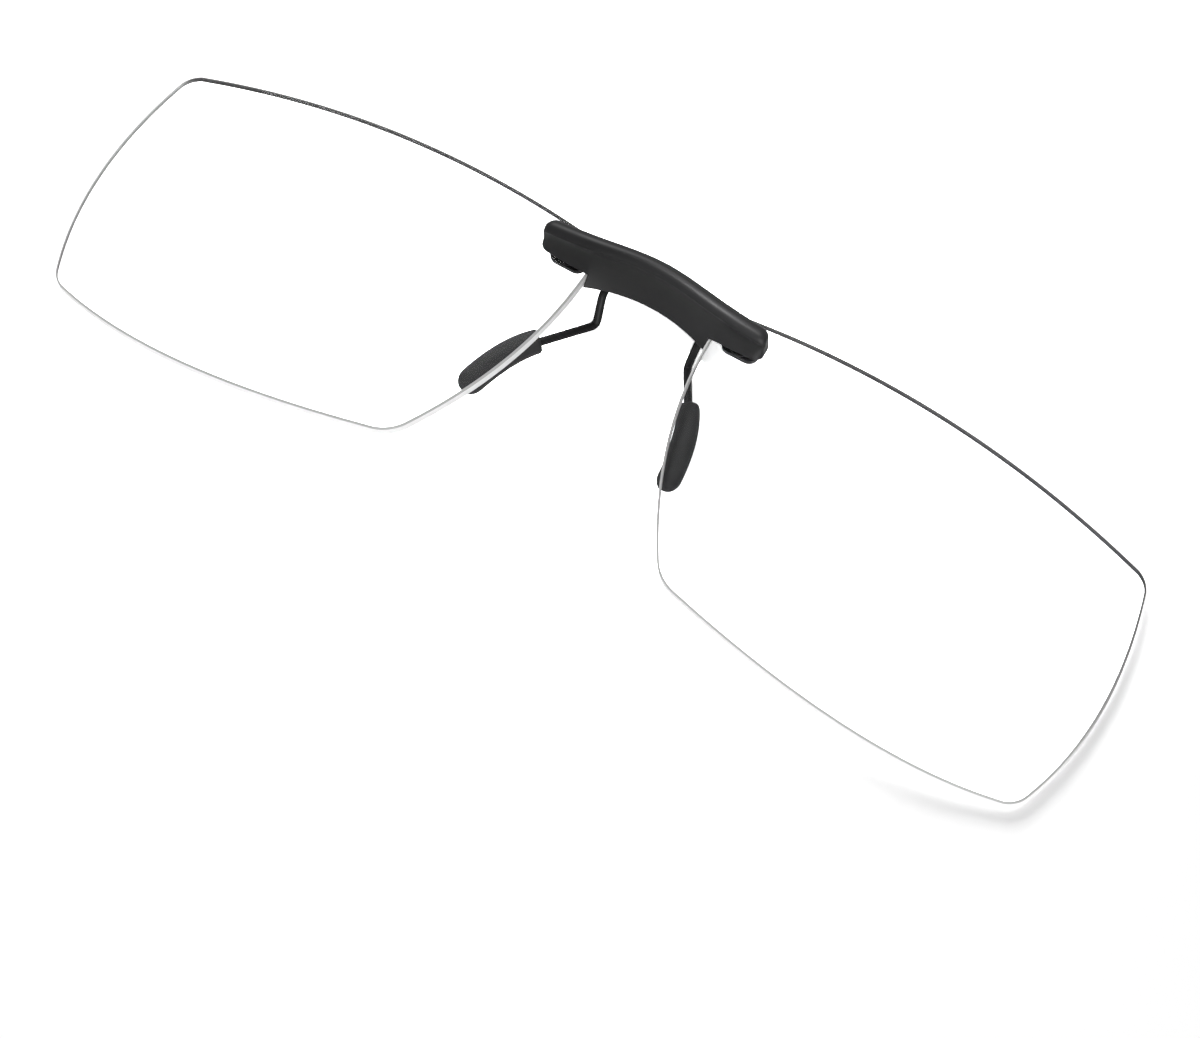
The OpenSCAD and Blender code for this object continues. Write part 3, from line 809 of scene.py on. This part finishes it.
def padPoint(t, drop, turn):
    a = math.radians(turn)
    top = padShape["top"] - Vector((0, drop, 0))
    along, out = Vector((math.sin(a), -math.cos(a), 0)), Vector((math.cos(a), math.sin(a), 0))
    bulge = along * padShape["length"] * (0.5 - padShape["swellAlong"]) + out * padShape["swellOut"]
    return bend(top - Vector((0, 0, padShape["lead"])), top + bulge, top + along * padShape["length"], t)


def mirrored(path, side):
    return [Vector((side * p.x, p.y, p.z)) for p in path]


def padHalf(t):
    p = padShape
    swell = mixOf(p["neck"], 1, math.sin(math.radians(90 * min(t / p["fullAt"], 1))))
    rim = max(p["rim"] - t, 0) / p["rim"]
    tip = max(t - (1 - p["end"]), 0) / p["end"]
    narrow = math.sqrt(1 - p["rimTaper"] * rim * rim) * math.sqrt(1 - p["endTaper"] * tip * tip)
    return p["width"] / 2 * swell * narrow


def armPath(drop, turn):
    a = armShape
    socketLow = pinAt.y - a["socketDown"]
    corners = [
        Vector((a["gap"], socketLow + a["topUp"], pinAt.z)),
        Vector((a["gap"], socketLow - a["kneeDown"], pinAt.z - a["kneeBack"])),
        Vector((a["gap"] - a["bendIn"], a["bendY"] - a["bendShare"] * drop, -a["bendBack"])),
        padPoint(0, drop, turn),
    ]
    inPad = [a["intoPad"] * i / a["padSteps"] for i in range(1, a["padSteps"] + 1)]
    return roundPath(corners, a["cut"], a["bendSteps"]) + [padPoint(t, drop, turn) for t in inPad]


def makeArm(name):
    side, drop, turn = hang[name]
    path = mirrored(armPath(drop, turn), side)
    mats = [materials["blackEnamel"]]
    arm = tube("arm" + name.capitalize(), path, armShape["wire"], armShape["sides"], mats)
    return standFor(arm, "arm_" + name, levered)


def makePad(name):
    side, drop, turn = hang[name]
    p, flatter = padShape, padShape["depth"] / padShape["width"]
    at = [(1 - math.cos(math.pi * i / p["rings"])) / 2 for i in range(p["rings"] + 1)]
    path = mirrored([padPoint(t, drop, turn) for t in at], side)

    def hole(i, radius):
        return tubeRing(path, i, radius, radius, p["sides"])

    # the mouth dips in round the wire
    rings = [hole(p["mouthRings"], armShape["wire"] * p["mouthRoom"]), hole(0, p["mouth"])]
    for i, t in enumerate(at):
        half = padHalf(t)
        rings.append(tubeRing(path, i, half, half * flatter, p["sides"], p["square"]))
    pad = skinRings("pad" + name.capitalize(), rings, [materials["padRubber"]], p["sharp"])
    return standFor(pad, "pad_" + name, levered)


for name in hang:
    makeArm(name)
    makePad(name)
print("arms and pads ready")


# Spring

springShape = {
    "wire": 0.18 * mm,          # radius
    "sides": 14,
    "coil": 1.12 * mm,          # radius to the wire's middle
    "pitch": 0.86 * mm,
    "turns": 3.5,
    "ringsPerTurn": 36,
    "legStart": 0.25 * mm,
    "fixedLeg": 1.5 * mm,
    "turningLeg": 2.2 * mm,
}


def makeSpring():
    s = springShape
    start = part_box("clamp_spring")[1].x - s["wire"]
    coil = []
    for k in range(int(s["ringsPerTurn"] * s["turns"]) + 1):
        turn = k / s["ringsPerTurn"]
        a = math.radians(270 - 360 * turn)
        coil.append(Vector((start - s["pitch"] * turn, pinAt.y + s["coil"] * math.cos(a),
                            pinAt.z - s["coil"] * math.sin(a))))
    first, last, up = coil[0], coil[-1], Vector((0, 1, 0))
    path = [first + up * s["fixedLeg"], first + up * s["legStart"]] + coil
    path += [last + up * s["legStart"], last + up * s["turningLeg"]]
    spring = tube("clampSpring", path, s["wire"], s["sides"], [materials["springSteel"]])
    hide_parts("clamp_spring")
    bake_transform(spring)


makeSpring()
print("spring ready")


# Finish of the pieces that stay as packed

cadFinish = {
    "lens_clamp_left": "blackEnamel",
    "lens_clamp_right": "blackEnamel",
    "lens_gasket_left": "blackSilicone",
    "lens_gasket_right": "blackSilicone",
    "lens_bushes": "blackNylon",
    "lens_screws": "turnedSteel",
    "carrier": "blackEnamel",
    "carrier_screws": "turnedSteel",
    "hinge_pin": "turnedSteel",
    "pin_clips": "turnedSteel",
    "lever": "blackEnamel",
}

for node, finish in cadFinish.items():
    slots = nodes[node].data.materials
    slots.clear()
    slots.append(materials[finish])
print("packed pieces finished:", len(cadFinish))
